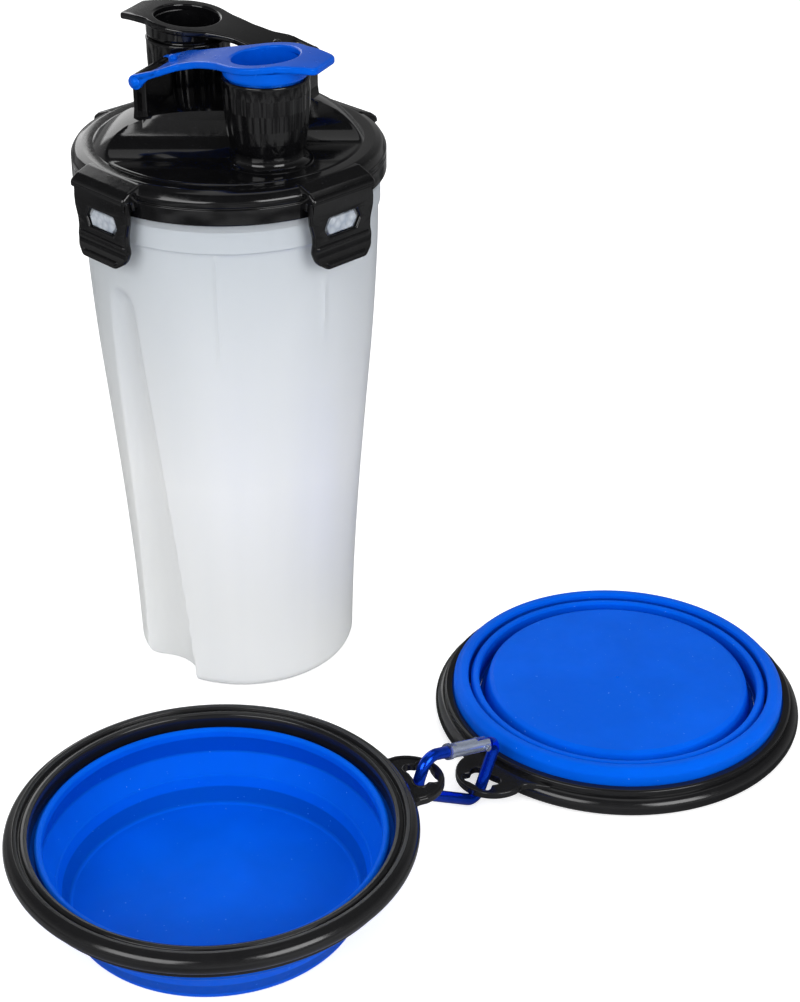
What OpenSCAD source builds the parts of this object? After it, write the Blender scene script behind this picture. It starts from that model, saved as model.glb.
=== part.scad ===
// Two-chamber travel bottle for a dog, with two collapsible bowls on a carabiner.
// The bottle stands at the origin, +Z up. The chambers lie at +X (water) and -X (food).

/* [Bottle] */
// Radius of the bottle at its foot
foot_r = 39.8; // [38.5:0.1:41]
// Radius of the bottle below the collar
shoulder_r = 50.2; // [49.5:0.1:50.5]
// Height of the bottle's rim
body_h = 188; // [180:1:196]
// Thickness of the moulded walls
wall = 1.5; // [1.2:0.1:2]

/* [Lid] */
// Outer radius of the lid's skirt
skirt_r = 53.05; // [53:0.05:54]
// Height of the dome above the rim ring
dome_h = 14.4; // [12:0.2:16]
// Outer radius of a spout at its mouth
spout_r = 14.4; // [14:0.1:14.6]
// Height of a spout's mouth above the floor
spout_top = 227; // [225:0.5:228]

/* [Caps] */
// Distance from a cap's hinge pin to its plug
arm_l = 41.8; // [41:0.1:42.5]
// Slope of the cap's plate towards its hinge, in degrees
cap_slope = 6; // [4:0.5:7]
// Radius of the finger cup in the cap
cup_r = 11.1; // [10:0.1:11.3]

/* [Latches] */
// Width of a latch
latch_w = 27.6; // [24:0.2:29]
// Length of a latch below its hinge
latch_l = 23.6; // [23:0.1:25]

/* [Bowls] */
// Outer radius of a bowl's rim
rim_r = 65; // [64:0.5:66]
// Distance from a bowl's axis to the hole in its tab
hole_at = 72.5; // [72:0.1:73]
// Height that a bowl loses when it is folded flat
fold_h = 17.5; // [16:0.5:17.5]

/* [Carabiner] */
// Radius of the carabiner's rod
rod_r = 2; // [1.8:0.1:2]
// Radius of the carabiner's gate
gate_r = 2.5; // [2.4:0.1:2.6]

/* [Hidden] */
$fn = 72;
blue = "royalblue";
black = "#1b1c1f";
frosted = "#dfe6ee";

// points of an arc in the order of its angles
function arc(cx, cy, r, a0, a1, n = 6) =
    [for (i = [0:n]) let (a = a0 + (a1 - a0) * i / n) [cx + r * cos(a), cy + r * sin(a)]];

// ---- bottle body ----
collar_z = 176;              // step up to the collar under the lid
collar_r = 50.9;
base_t = 1.8;
divider_t = 2;               // wall between the chambers
groove_r0 = 16;              // groove radius at the floor
groove_r1 = 8.2;             // groove radius at its arched top
groove_y0 = 45.5;            // distance of the groove's axis at the floor
groove_y1 = 55.3;            // and at its top
groove_top = 151;
lug_z = 183;
lug_w = 13.4;
lug_h = 5.6;
lug_tip = 55;

// side of the bottle above its foot, g inside its outer surface
function body_side(g) = [[40.7 - g, 31], [42.8 - g, 65], [45.5 - g, 98], [48.2 - g, 130], [49.8 - g, 158]];
module body_outer() rotate_extrude() polygon([[0, 0], each arc(foot_r - 4.9, 4.9, 4.9, -90, -8, 6),
    each body_side(0), [shoulder_r, collar_z], [collar_r, collar_z + 0.7], [collar_r, body_h], [0, body_h]]);
module body_cavity() rotate_extrude() polygon([[0, base_t],
    each arc(foot_r - 4.9 - wall, 5.5, 3.7, -90, -8, 6),
    each body_side(wall), [shoulder_r - wall, body_h + 1], [0, body_h + 1]]);
// a leaning cone that presses the side in, deepest at the floor, with a round top
module groove(g) {
    lean = atan((groove_y1 - groove_y0) / groove_top);
    len = norm([groove_y1 - groove_y0, groove_top]);
    taper = (groove_r0 - groove_r1) / len;
    translate([0, -groove_y0, 0]) rotate([lean, 0, 0]) rotate(-90) rotate_extrude()
        polygon([[0, -12], [groove_r0 + g + 12 * taper, -12], each arc(0, len, groove_r1 + g, 0, 90, 6)]);
}
module grooves(g) for (s = [0, 180]) rotate(s) groove(g);
module chamber() difference() {
    difference() {
        body_cavity();
        translate([divider_t / 2 - 120, -60, 0]) cube([120, 120, body_h + 2]);
    }
    grooves(wall);
}
// six-sided catch that a latch's window snaps over
module lug() translate([lug_tip, 0, lug_z]) rotate([0, -90, 0]) linear_extrude(6)
    polygon([[-lug_h / 2, -lug_w / 2 + 2], [0, -lug_w / 2], [lug_h / 2, -lug_w / 2 + 1.2],
        [lug_h / 2, lug_w / 2 - 2], [0, lug_w / 2], [-lug_h / 2, lug_w / 2 - 1.2]]);
module bottle_body() color(frosted) difference() {
    union() {
        difference() {
            body_outer();
            pair() chamber();
        }
        for (a = [0:90:270]) rotate(a) lug();
    }
    grooves(0);
}

// ---- lid ----
skirt_z = 187;
ring_z = 198;                // top of the rim ring
ring_r = 45.6;               // inner edge of the rim ring, foot of the dome
lid_t = 1.8;
seal_z = 189.8;              // underside that presses the gasket
ridge_a = 45;                // direction of the dome's ridge
ridge_y = 15.5;              // front edge of the left ridge
step_y = 2.5;                // front edge of the right ridge
step_x = 21;                 // where the front edge steps back
valley_r = 11;               // hollow that runs the dome into its valley
spout_xy = [25.4, -5];
arm_a = 21.6;                // direction of a cap's arm, hinge to plug
pin_z = 222;
pin_r = 1.5;
pin_gap = 0.08;
post_t = 5;
post_w = 18.6;
hinge_z = 193.2;             // latch hinge
hinge_x = 54.6;
bead_r = 1.4;
bead_gap = 0.07;

module dome(g) rotate_extrude() polygon([[0, seal_z], [ring_r - g, seal_z],
    for (i = [0:14]) let (t = i / 14, r = 1 - t * t)
        [(ring_r - g) * r, ring_z - g + dome_h * (1 - pow(r, 4))]]);
// side view of a valley whose back edge lies at y = -e
module valley_side(e, g) difference() {
    translate([-70, ring_z + 0.4 - g]) square([70 - e + g, 40]);
    difference() {
        translate([-e + g - valley_r, ring_z + 0.3 - g]) square([valley_r + 1, valley_r]);
        translate([-e + g - valley_r, ring_z + 0.4 - g + valley_r]) circle(r = valley_r);
    }
}
module valleys(g) for (s = [0, 180]) rotate(ridge_a + s) {
    translate([-60, 0, 0]) rotate([90, 0, 90]) linear_extrude(120) valley_side(ridge_y, g);
    translate([step_x - g, 0, 0]) rotate([90, 0, 90]) linear_extrude(60) valley_side(-step_y, g);
}
module dome_shell() difference() {
    difference() { dome(0); valleys(0); }
    difference() { dome(lid_t); valleys(lid_t); }
}
// skirt, rounded shoulder and rim ring
module rim_ring() rotate_extrude() polygon([[51.3, skirt_z], [skirt_r, skirt_z],
    each arc(skirt_r - 3, 194.2, 3, 0, 62, 5), [ring_r + 1, ring_z], [ring_r - lid_t, ring_z],
    [ring_r - lid_t, seal_z], [51.3, seal_z]]);
// wall that centres the lid in the bottle
module seal_wall() difference() {
    translate([0, 0, 185]) cylinder(h = 6, r = 48.3);
    translate([0, 0, 184]) cylinder(h = 8, r = 46.8);
    translate([-4, -60, 184]) cube([8, 120, 4.6]);
}
// bar above the divider, so that the chambers stay apart
module lid_divider() intersection() {
    translate([-1, -60, seal_z - 0.6]) cube([2, 120, 40]);
    difference() { dome(0.5); valleys(0.5); }
}
// hooked rail that holds a latch's hinge bead
module latch_rail() {
    wrap_r = bead_r + 1.1;
    difference() {
        union() {
            translate([45, -latch_w / 2, skirt_z + 2.5]) cube([hinge_x - 45 - 1.3, latch_w, 7.2]);
            translate([hinge_x, latch_w / 2, hinge_z]) rotate([90, 0, 0]) cylinder(h = latch_w, r = wrap_r);
        }
        translate([hinge_x, 20, hinge_z]) rotate([90, 0, 0]) cylinder(h = 40, r = bead_r + bead_gap);
        // mouth of the hook, from straight down to straight out
        translate([hinge_x, -20, hinge_z]) rotate([0, -38, 0]) translate([0, 0, -20]) cube([20, 40, 20]);
        translate([hinge_x, -20, hinge_z]) rotate([0, 40, 0]) translate([0, 0, -20]) cube([20, 40, 20]);
        translate([hinge_x - 0.95, -20, skirt_z - 1]) cube([6, 40, hinge_z - skirt_z]);
    }
}
spout_side = [[11.7, 196], [11.8, 198.6], [12.4, 201.5], [13.3, 206], [14, 212], [14.3, 218],
    [spout_r, spout_top]];
module spout() translate([each spout_xy, 0]) difference() {
    union() {
        rotate_extrude() polygon([[0, 196], each spout_side, [0, spout_top]]);
        // swept foot
        rotate_extrude() polygon([[0, 197.2], [14.4, 197.2],
            each arc(14.4, 200.8, 2.4, -90, -180, 6), [0, 200.8]]);
    }
    spout_bore();
}
module spout_bore() rotate_extrude() polygon([[0, 180], [10, 180], [10, 199], [11, 206], [12.9, 220],
    [12.9, spout_top - 0.4], [13.3, spout_top + 1], [0, spout_top + 1]]);
// places what belongs to a cap's own axes: x from plug to tab, hinge at -arm_l
module at_cap() translate([each spout_xy, 0]) rotate(arm_a) children();
module hinge_post() at_cap() translate([-arm_l, 0, 0]) difference() {
    union() {
        translate([-post_t / 2, -post_w / 2, 200]) cube([post_t, post_w, pin_z - 200]);
        translate([0, post_w / 2, pin_z]) rotate([90, 0, 0]) cylinder(h = post_w, r = post_t / 2);
        translate([0, post_w / 2, 0]) rotate([90, 0, 0]) linear_extrude(post_w)
            polygon([[-post_t / 2 - 2.5, 203], [-post_t / 2, 212],
                [post_t / 2, 212], [post_t / 2 + 2.5, 203]]);
    }
    for (s = [-1, 1]) translate([0, s * 7.5, pin_z]) rotate([90, 0, 0])
        cylinder(h = 5.4, r = pin_r + pin_gap, center = true);
}
module pair() for (s = [0, 180]) rotate(s) children();
module lid() color(black) difference() {
    union() {
        rim_ring();
        difference() {
            union() {
                dome_shell();
                pair() intersection() { hinge_post(); post_room(); }
                pair() spout_root();
            }
            pair() translate([each spout_xy, 0]) spout_bore();
        }
        pair() spout();
        seal_wall();
        lid_divider();
        for (a = [0:90:270]) rotate(a) latch_rail();
    }
    pair() translate([each spout_xy, 0]) spout_bore();
}
// posts stand on the dome and stop at its skin
module post_room() difference() {
    translate([-60, -60, 190]) cube([120, 120, 60]);
    difference() { dome(lid_t); valleys(lid_t); }
}
module spout_root() translate([each spout_xy, 196]) cylinder(h = 6, r = 12);

// ---- gasket ----
module lid_gasket() color("#c9ccd0") {
    difference() {
        translate([0, 0, body_h]) cylinder(h = seal_z - body_h, r = 50.7);
        translate([0, 0, body_h - 1]) cylinder(h = 4, r = 48.5);
    }
    translate([-1.6, -48.6, body_h]) cube([3.2, 97.2, 1.2]);
}

// ---- caps ----
plate_z = 233.2;
plate_t = 2.4;
plate_r = 15.2;
tab_x = 21.6;
leg_y = 10.9;                // middle of a fork leg
leg_t = 2;
knob_r = 2.3;
// height of the plate's top along the arm: it drops to the hinge and levels out in the tab
function plate_top(x) = plate_z + x * tan(cap_slope) - 0.0054 * pow(max(0, -x - 12), 2)
    - 0.008 * pow(max(0, x - 6), 2);
module cap_outline() {
    circle(r = plate_r);
    // thumb tab
    polygon([[6, -14], each arc(tab_x - 2, -6.6, 2, -60, 0, 3),
        each arc(tab_x - 2, 6.6, 2, 0, 60, 3), [6, 14]]);
    // arm, waisted behind the cup and flared to the fork
    polygon([[-6, 14], [-14, 9.9], [-21, 8.2], [-28, 8.6], [-33, leg_y + leg_t / 2],
        [-arm_l, leg_y + leg_t / 2], [-arm_l, -leg_y - leg_t / 2],
        [-33, -leg_y - leg_t / 2], [-28, -8.6], [-21, -8.2], [-14, -9.9], [-6, -14]]);
}
module cap_plate() intersection() {
    translate([0, 0, 200]) linear_extrude(50) difference() {
        cap_outline();
        translate([-arm_l - 6, -leg_y + leg_t / 2]) square([12.2, 2 * leg_y - leg_t]);
    }
    translate([0, 30, 0]) rotate([90, 0, 0]) linear_extrude(60) polygon([
        for (x = [24:-6:-12]) [x, plate_top(x)], for (x = [-15:-3:-arm_l - 1]) [x, plate_top(x)],
        [-arm_l - 1, pin_z - 1.2],
        for (x = [-arm_l + 3:3:-12]) [x, plate_top(x) - plate_t],
        for (x = [0:6:24]) [x, plate_top(x) - plate_t]]);
}
module cap() {
    at_cap() {
        difference() {
            union() {
                cap_plate();
                translate([0, 0, spout_top + 0.2]) cylinder(h = 5.4, r = 14.1);
                rotate_extrude() polygon([[0, 222.4], [11.5, 222.4], [12, 223.2], [12.3, 225.2],
                    [12.5, 226], [12.3, 226.8], [12.3, spout_top + 1], [0, spout_top + 1]]);
            }
            rotate_extrude()
                polygon([[0, 223.8], [cup_r - 0.8, 223.8], [cup_r, 225], [cup_r, 240], [0, 240]]);
            // trim the stop ring to the plate's slope
            translate([0, 0, plate_z - 0.02]) rotate([0, -cap_slope, 0])
                translate([-20, -20, 0]) cube([40, 40, 10]);
        }
        for (s = [-1, 1]) translate([-arm_l, 0, pin_z]) rotate([s * 90, 0, 0]) {
            translate([0, 0, 5]) cylinder(h = leg_y - 4, r = pin_r);
            // knob on the end of the rod
            rotate_extrude() polygon([[0, leg_y - leg_t / 2], [knob_r, leg_y - leg_t / 2],
                for (a = [0:15:90]) [knob_r * cos(a), leg_y + 0.4 + 1.6 * sin(a)]]);
        }
    }
}
module water_cap() color(blue) cap();
module food_cap() color(black) rotate(180) cap();

// ---- latches ----
// half outline, top to bottom, as [half width, distance below the hinge]
latch_half = [[13.6, 0], [latch_w / 2 + 0.3, 4.6], [latch_w / 2 + 0.1, 7.4], [12.7, 12], [12.6, 14.6],
    [13.2, 17.4]];
module latch_outline() polygon([
    for (p = latch_half) [p[0], -p[1]], each arc(7.2, -latch_l + 5.8, 5.8, 0, -90, 5),
    each arc(-7.2, -latch_l + 5.8, 5.8, -90, -180, 5),
    for (i = [len(latch_half) - 1:-1:0]) [-latch_half[i][0], -latch_half[i][1]]]);
// side view: neck, flat, and the lip that turns out for a finger
module latch_side() polygon([[-0.7, 0], [-0.7, -2.6], [-1.1, -3.2], [-1.1, -17.4], [-0.6, -20.2], [0.7, -22.6],
    [2.2, -24.6], [3.6, -24.1], [2.6, -21.6], [2.1, -19.9], [1.5, -19], [1.8, -18], [1.2, -16.8],
    [1.1, -14.6], [1.1, -3.4], [0.7, -2.6], [0.7, 0]]);
module latch_window() polygon([[-7.6, -10.2], [-6, -7.2], [6.4, -7.2], [7.6, -10.2], [6, -13.2], [-6.4, -13.2]]);
module latch() translate([hinge_x, 0, hinge_z]) difference() {
    union() {
        intersection() {
            rotate([90, 0, 90]) translate([0, 0, -5]) linear_extrude(12) latch_outline();
            translate([0, 20, 0]) rotate([90, 0, 0]) linear_extrude(40) latch_side();
        }
        translate([0, 13.4, 0]) rotate([90, 0, 0]) cylinder(h = 26.8, r = bead_r);
    }
    rotate([90, 0, 90]) translate([0, 0, -5]) linear_extrude(12) latch_window();
}
module latch_right() color(black) latch();
module latch_back() color(black) rotate(90) latch();
module latch_left() color(black) rotate(180) latch();
module latch_front() color(black) rotate(270) latch();

// ---- bowls: upright and open, base at z = 0 ----
bowl_h = 31.5;
bowl_a_at = [109.8, -110.4];
bowl_a_turn = 70;
bowl_b_at = [132.2, 60];
bowl_b_turn = -89;
tab_z = 23.7;
tab_t = 2.5;
seat_z = 24.4;               // where the two black rings pinch the silicone

// slot with two rounded lobes at each end, shaped like a bone
module bone() {
    square([7, 8], center = true);
    for (sx = [-1, 1], sy = [-1, 1]) translate([sx * 2.3, sy * 3.9]) circle(r = 1.7);
}
module rim() difference() {
    union() {
        // outer ring, groove and inner bead
        rotate_extrude() polygon([[56.9, seat_z], each arc(rim_r - 2, seat_z + 2, 2, -90, 0, 3),
            each arc(rim_r - 3.4, bowl_h - 3.4, 3.4, 0, 105, 6), [60.1, bowl_h - 1.5],
            each arc(58.35, bowl_h - 2.1, 1.4, 20, 180, 6)]);
        translate([0, 0, tab_z]) linear_extrude(tab_t) {
            translate([68.3, 0]) circle(r = 11);
            difference() {
                polygon([[60, -17], each arc(73.4, -17.6, 9, 152, 118, 4), [68, 0],
                    each arc(73.4, 17.6, 9, -118, -152, 4), [60, 17]]);
                circle(r = 61.2);
            }
        }
    }
    translate([0, 0, tab_z - 1]) linear_extrude(tab_t + 2) translate([hole_at, 0]) bone();
    translate([0, 0, tab_z - 1]) cylinder(h = seat_z - tab_z + 1, r = 63.4);
}
module clamp_ring() rotate_extrude() polygon([[58.8, 20.6], [61.6, 20.6],
    each arc(61.9, 21.6, 0.9, -60, 60, 4), [62.6, seat_z], [61.1, seat_z], [61.1, 22.7], [58.8, 22.7]]);
// lip bead, recessed wall, rounded band that hangs below the rim, and the flange the rings pinch
module collar() rotate_extrude() polygon([[55.5, seat_z], each arc(54.35, 26.4, 1.15, 0, 180, 6),
    [53.3, 23.6], [54, 22.4], [54, 19.4], [53.2, 18.2], [53.3, 17], [54.2, 16.3],
    each arc(55.6, 19.1, 3, -90, 0, 6), [58.6, 22.8], [61, 22.8], [61, seat_z]]);
module middle_wall() rotate_extrude() polygon([[50.6, 18.9], [52.9, 18.9], [52.9, 17.9], [52.3, 17.3],
    [51.5, 9.4], [50.9, 8.8], [49.6, 8.8], [49.6, 9.6]]);
module cup() rotate_extrude() polygon([[0, 0], [45.2, 0], each arc(45.2, 1.6, 1.6, -80, -10, 3), [48.5, 8.8],
    [49.3, 9.4], [49.3, 10.4], [47.4, 10.4], [46.9, 8.8], [45.4, 2.6], [44.9, 2], [0, 2]]);
module at_bowl_a() translate(bowl_a_at) rotate(bowl_a_turn) children();
// bowl B lies folded and upside down; lift is how far a ring has gone up into the rim
module at_bowl_b(lift = 0) translate([each bowl_b_at, bowl_h]) rotate(bowl_b_turn) rotate([180, 0, 0])
    translate([0, 0, lift]) children();
module bowl_a_rim() color(black) at_bowl_a() rim();
module bowl_a_clamp_ring() color(black) at_bowl_a() clamp_ring();
module bowl_a_collar() color(blue) at_bowl_a() collar();
module bowl_a_middle_wall() color(blue) at_bowl_a() middle_wall();
module bowl_a_cup() color(blue) at_bowl_a() cup();
module bowl_b_rim() color(black) at_bowl_b() rim();
module bowl_b_clamp_ring() color(black) at_bowl_b() clamp_ring();
module bowl_b_collar() color(blue) at_bowl_b() collar();
module bowl_b_middle_wall() color(blue) at_bowl_b(fold_h / 2) middle_wall();
module bowl_b_cup() color(blue) at_bowl_b(fold_h) cup();

// ---- carabiner ----
biner_at = [134, -26, 17.6];
biner_tilt = 25.5;           // how far its long axis dips towards bowl B
// corners of the loop in its own plane, and the radius of each bend
loop = [[9.5, 10.06], [17, 11], [17, -11], [-18, -6.6], [-18, 6.6], [-8.5, 7.8]];
bends = [0, 3.4, 4.5, 6.2, 6.2, 0];
hinge_p = loop[0];           // gate pivot
gate_line = loop[0] - loop[5];
gate_a = atan2(gate_line[1], gate_line[0]);
gate_l = norm(gate_line) - 0.4;
tongue_l = 3.5;              // flat tongue between the pivot and the rod

module at_biner() translate(biner_at) rotate([-biner_tilt, 0, 0]) rotate([90, 0, 90]) children();
// round rod between two points of the loop's plane
module rod(p, q, r) translate([each p, 0]) rotate(atan2(q[1] - p[1], q[0] - p[0]))
    rotate([0, 90, 0]) cylinder(h = norm(q - p), r = r);
function unit(v) = v / norm(v);
function heading(v) = atan2(v[1], v[0]);
function turn(a) = a > 180 ? a - 360 : a < -180 ? a + 360 : a;
// arc that rounds corner i of the loop
function bend(i, n = 7) =
    let (u = unit(loop[i - 1] - loop[i]), w = unit(loop[i + 1] - loop[i]), half = acos(u * w) / 2,
        back = bends[i] / tan(half), centre = loop[i] + unit(u + w) * bends[i] / sin(half),
        a0 = heading(loop[i] + u * back - centre), a1 = a0 + turn(heading(loop[i] + w * back - centre) - a0))
    arc(centre[0], centre[1], bends[i], a0, a1, n);
rod_path = [loop[0] + tongue_l * unit(loop[1] - loop[0]), for (i = [1:4]) each bend(i), loop[5]];
// round rod along a flat path
module swept(path, r, sides = 16) {
    n = len(path);
    function step(i) = path[min(max(i, 0), n - 2) + 1] - path[min(max(i, 0), n - 2)];
    function share(i) = norm(step(i)) / norm(step(i - 1));
    function along(i) = unit(step(i - 1) * share(i) + step(i) / share(i));
    points = [for (i = [0:n - 1], k = [0:sides - 1]) let (t = along(i), c = r * cos(360 * k / sides))
        [path[i][0] - t[1] * c, path[i][1] + t[0] * c, r * sin(360 * k / sides)]];
    polyhedron(points, [[for (k = [0:sides - 1]) k],
        for (i = [0:n - 2], k = [0:sides - 1]) let (q = (k + 1) % sides)
            [(i + 1) * sides + k, (i + 1) * sides + q, i * sides + q, i * sides + k],
        [for (k = [sides - 1:-1:0]) (n - 1) * sides + k]]);
}
module carabiner_frame() color("mediumblue") at_biner() {
    swept(rod_path, rod_r);
    // nose that the gate closes on
    rod(loop[5] - 0.3 * unit(gate_line), loop[5] + 2.6 * unit(gate_line), 0.9);
    // tongue for the gate's fork
    at_gate() translate([0, 0, -0.9]) linear_extrude(1.8) difference() {
        union() {
            circle(r = 1.9);
            translate([0, -1.6]) square([tongue_l + 0.3, 3.2]);
        }
        circle(r = 0.7);
    }
}
module at_gate() translate([each hinge_p, 0]) rotate(gate_a) children();
module carabiner_gate() color("silver") at_biner() at_gate() difference() {
    union() {
        translate([-gate_l, 0, 0]) rotate([0, 90, 0]) cylinder(h = gate_l + 1.8, r = gate_r);
        translate([-gate_l, 0, 0]) rotate([0, 90, 0]) cylinder(h = 1.6, r = gate_r + 0.3);
    }
    // fork slot, spring bore, and the socket over the nose
    translate([-4, -4, -1]) cube([8, 8, 2]);
    translate([-12, 0, 0]) rotate([0, 90, 0]) cylinder(h = 10, r = 1.4);
    translate([-gate_l - 1, -1.1, -1.1]) cube([4, 6.1, 2.2]);
    cylinder(h = 8, r = 0.7, center = true);
}
module gate_pin() color("silver") at_biner() translate([each hinge_p, 0]) {
    cylinder(h = 2 * gate_r + 1.2, r = 0.64, center = true);
    for (s = [-1, 1]) translate([0, 0, s * (gate_r + 0.6)]) cylinder(h = 0.6, r = 1.1, center = true);
}
spring_turns = 5;
module gate_spring() color("silver") at_biner() at_gate() translate([-11.6, 0, 0]) rotate([0, 90, 0])
    for (i = [0:spring_turns - 1]) translate([0, 0, 0.4 + i * 1.4])
        rotate_extrude() translate([0.9, 0]) circle(r = 0.3, $fn = 16);

bottle_body();
lid();
lid_gasket();
water_cap();
food_cap();
latch_right();
latch_back();
latch_left();
latch_front();
carabiner_frame();
carabiner_gate();
gate_pin();
gate_spring();
bowl_a_rim();
bowl_a_clamp_ring();
bowl_a_collar();
bowl_a_middle_wall();
bowl_a_cup();
bowl_b_rim();
bowl_b_clamp_ring();
bowl_b_collar();
bowl_b_middle_wall();
bowl_b_cup();
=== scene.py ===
"""Looks of a two-chamber travel bottle with flip caps, four latches and two folding bowls on a carabiner.

Sizes are in millimetres in the object's own frame: the bottle stands at the origin, +Z up.
"""
import math

import bmesh
import bpy
from mathutils import Matrix, Vector


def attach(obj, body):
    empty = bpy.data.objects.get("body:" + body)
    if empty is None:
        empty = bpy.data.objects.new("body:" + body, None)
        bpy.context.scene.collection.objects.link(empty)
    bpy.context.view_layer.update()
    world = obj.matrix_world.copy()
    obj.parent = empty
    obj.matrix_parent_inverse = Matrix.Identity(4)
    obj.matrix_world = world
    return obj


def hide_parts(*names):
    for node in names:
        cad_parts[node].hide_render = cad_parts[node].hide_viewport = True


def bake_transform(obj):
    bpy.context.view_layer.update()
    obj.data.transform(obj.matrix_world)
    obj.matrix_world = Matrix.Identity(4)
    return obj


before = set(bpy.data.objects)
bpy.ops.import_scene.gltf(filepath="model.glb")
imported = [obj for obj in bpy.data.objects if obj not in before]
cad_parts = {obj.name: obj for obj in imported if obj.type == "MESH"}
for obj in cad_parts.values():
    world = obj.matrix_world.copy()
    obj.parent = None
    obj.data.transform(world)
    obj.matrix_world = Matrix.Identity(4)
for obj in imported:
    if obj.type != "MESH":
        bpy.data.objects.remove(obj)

bl_info = {
    "name": "Dog travel bottle looks",
    "version": (1, 0, 0),
    "blender": (4, 5, 0),
    "location": "3D View > Sidebar > Bottle",
    "description": "Dresses the packed travel bottle, its caps, latches, bowls and carabiner",
    "category": "Object",
}

MM = 0.001


# ---------------------------------------------------------------- settings
class BottleSettings(bpy.types.PropertyGroup):
    """Sizes and colours of the bottle, its lid and its caps."""

    lid_colour: bpy.props.FloatVectorProperty(
        name="Lid colour", description="Glossy moulded black of the lid and latches",
        subtype="COLOR_GAMMA", default=(0.035, 0.035, 0.04))
    body_colour: bpy.props.FloatVectorProperty(
        name="Body colour", description="Frosted translucent plastic of the bottle",
        subtype="COLOR_GAMMA", default=(0.90, 0.905, 0.90))
    groove_soften: bpy.props.FloatProperty(
        name="Groove rounding", description="How softly the thumb grooves run into the side",
        default=1.6 * MM, subtype="DISTANCE", unit="LENGTH")
    crease: bpy.props.FloatProperty(
        name="Dome crease", description="Rounding where the dome meets its hollows",
        default=0.7 * MM, subtype="DISTANCE", unit="LENGTH")
    flute_depth: bpy.props.FloatProperty(
        name="Flute depth", description="Depth of the flutes down a spout",
        default=0.5 * MM, subtype="DISTANCE", unit="LENGTH")


class BowlSettings(bpy.types.PropertyGroup):
    """Colours and softness of the bowls and the carabiner."""

    silicone_colour: bpy.props.FloatVectorProperty(
        name="Silicone colour", description="Blue of the bowls and the water cap",
        subtype="COLOR_GAMMA", default=(0.0, 0.358, 0.865))
    rim_colour: bpy.props.FloatVectorProperty(
        name="Rim colour", description="Satin black of the bowls' rims",
        subtype="COLOR_GAMMA", default=(0.085, 0.085, 0.09))
    metal_colour: bpy.props.FloatVectorProperty(
        name="Carabiner colour", description="Deep anodised blue of the carabiner's rod",
        subtype="COLOR_GAMMA", default=(0.02, 0.27, 0.86))
    edge: bpy.props.FloatProperty(
        name="Edge rounding", description="Rounding of the silicone's moulded edges",
        default=0.6 * MM, subtype="DISTANCE", unit="LENGTH")


# ---------------------------------------------------------------- materials
def linear(colour):
    """Linear RGBA of an sRGB colour given as three values or a hex string."""
    if isinstance(colour, str):
        colour = [int(colour[i:i + 2], 16) / 255 for i in (1, 3, 5)]
    parts = [c / 12.92 if c <= 0.04045 else ((c + 0.055) / 1.055) ** 2.4 for c in colour]
    return (*parts, 1)


NOISE, VORONOI, MAPPING = "ShaderNodeTexNoise", "ShaderNodeTexVoronoi", "ShaderNodeMapping"
RANGE, MIX, BUMP = "ShaderNodeMapRange", "ShaderNodeMix", "ShaderNodeBump"


class Graph:
    """A material's node tree, with its Principled shader.

    Patterns read Object coordinates, in metres, so a scale of 1000 repeats about every millimetre.
    """

    def __init__(self, name):
        self.material = bpy.data.materials.new(name)
        self.material.use_nodes = True
        self.tree = self.material.node_tree
        self.shader = self.tree.nodes["Principled BSDF"]
        self.output = self.tree.nodes["Material Output"]
        self.place = self.add("ShaderNodeTexCoord").outputs["Object"]

    def add(self, kind, **inputs):
        """A node of this kind, with its settings, values and links by name. Vector defaults to the place."""
        node = self.tree.nodes.new(kind)
        names = [s.name.lower().replace(" ", "_") for s in node.inputs]
        for key in [k for k in inputs if k not in names]:
            setattr(node, key, inputs.pop(key))
        if "vector" in names:
            inputs.setdefault("vector", self.place)
        for name, socket in zip(names, node.inputs):
            if name in inputs and socket.enabled:
                self.put(inputs.pop(name), socket)
        return node

    def put(self, value, socket):
        """Links a node or a socket to a socket, or sets a constant on it."""
        if isinstance(value, bpy.types.Node):
            value = next(s for s in value.outputs if s.enabled)
        if isinstance(value, bpy.types.NodeSocket):
            self.tree.links.new(value, socket)
        else:
            socket.default_value = value

    def feed(self, name, value):
        """Gives the shader's input a link or a constant."""
        self.put(value, self.shader.inputs[name])


def shade(colour, factor):
    """The colour made lighter or darker by a factor."""
    return (*[min(1.0, c * factor) for c in colour[:3]], 1)


def black_gloss(colour):
    """Glossy moulded black ABS, with fine dust, light rubbing and slow mould waves."""
    # repeats: dust 0.4 mm, rubbing 6 mm, sheen 2.4 mm, mould waves 17 mm
    # the real grain is finer than the 0.45 mm drawn, which is about what can show
    g = Graph("black_gloss_abs")
    base = linear(colour)
    dust = g.add(RANGE, value=g.add(NOISE, scale=2600, detail=2), from_min=0.73, from_max=0.76)
    smear = g.add(NOISE, scale=160, detail=5, roughness=0.65)
    rub = g.add(RANGE, value=smear, from_min=0.45, from_max=0.75)
    rubbed = g.add(MIX, data_type="RGBA", factor=rub, a=base, b=shade(base, 1.7))
    g.feed("Base Color", g.add(MIX, data_type="RGBA", factor=dust, a=rubbed, b=linear("#4a4a4e")))
    sheen = g.add(NOISE, scale=420, detail=5, roughness=0.7)
    g.feed("Roughness", g.add(RANGE, value=sheen, from_min=0.3, from_max=0.75, to_min=0.07, to_max=0.16))
    wave = g.add(BUMP, height=g.add(NOISE, scale=60, detail=2), distance=0.00005)
    grain = g.add(NOISE, scale=2200, detail=3)
    g.feed("Normal", g.add(BUMP, height=grain, distance=0.000003, normal=wave))
    return g.material


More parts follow.
